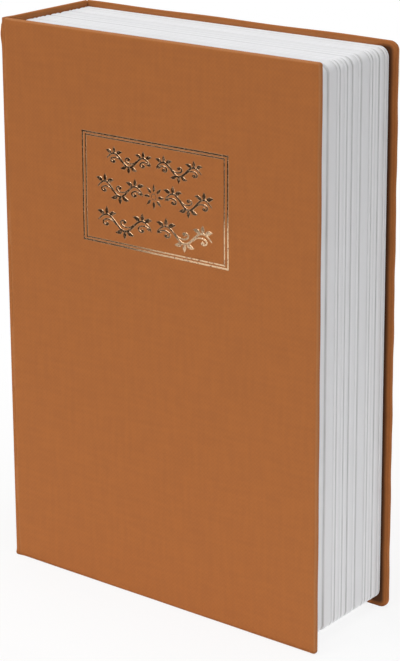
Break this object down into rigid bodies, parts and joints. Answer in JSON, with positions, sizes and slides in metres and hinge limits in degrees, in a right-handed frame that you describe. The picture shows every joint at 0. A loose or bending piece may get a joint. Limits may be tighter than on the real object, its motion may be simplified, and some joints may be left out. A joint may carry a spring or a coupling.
{
  "type": "book diversion safe",
  "caption": "Hardback book safe: cloth case with a hinged front cover round a ridged false page block, with a steel tray, a hinged lid and a cam lock inside.",
  "frame": {"origin": "on the surface that the book stands on, under the middle of its box", "axes": "+X from the spine to the fore-edge, +Y from the front cover to the back cover, +Z from the tail to the head"},
  "size_m": [0.158, 0.054, 0.236],
  "materials": {
    "book_cloth": "matte book cloth over board",
    "grey_board": "raw binder's board",
    "endpaper": "smooth uncoated paper",
    "page_plastic": "satin moulded plastic, ridged like page edges",
    "black_paint": "fine textured powder coat",
    "zinc_steel": "zinc plated",
    "cam_steel": "pressed steel",
    "nickel": "nickel plated"
  },
  "bodies": {
    "case": {"case_cloth": "book_cloth", "back_board": "grey_board", "spine_board": "grey_board", "front_joint_cloth": "book_cloth", "page_block": "page_plastic", "steel_tray": "black_paint", "hinge_leaf": "black_paint", "hinge_pin": "zinc_steel", "strike_bracket": "zinc_steel", "tray_screw_1": "zinc_steel", "tray_screw_2": "zinc_steel", "tray_screw_3": "zinc_steel", "tray_screw_4": "zinc_steel"},
    "front_cover": {"front_cloth": "book_cloth", "front_board": "grey_board", "front_endpaper": "endpaper"},
    "lid": {"lid": "black_paint", "lock_housing": "nickel", "lock_washer": "zinc_steel", "lock_nut": "zinc_steel"},
    "lock_core": {"lock_plug": "nickel", "lock_cam": "cam_steel", "cam_washer": "zinc_steel", "cam_screw": "zinc_steel"}
  },
  "joints": [
    {"name": "front_cover_hinge", "type": "hinge", "parent": "case", "child": "front_cover", "pos_m": [-0.07865, -0.02665, 0.118], "axis": [0, 0, -1], "range_deg": [0, 180]},
    {"name": "lid_hinge", "type": "hinge", "parent": "case", "child": "lid", "pos_m": [-0.0631, -0.0191, 0.1189], "axis": [0, 0, -1], "range_deg": [0, 115]},
    {"name": "lock_turn", "type": "hinge", "parent": "lid", "child": "lock_core", "pos_m": [0.042, -0.0077, 0.1189], "axis": [0, -1, 0], "range_deg": [0, 90]}
  ],
  "couplings": [
    {"joint": "lid_hinge", "follows": "front_cover_hinge", "ratio": 0.6388}
  ]
}
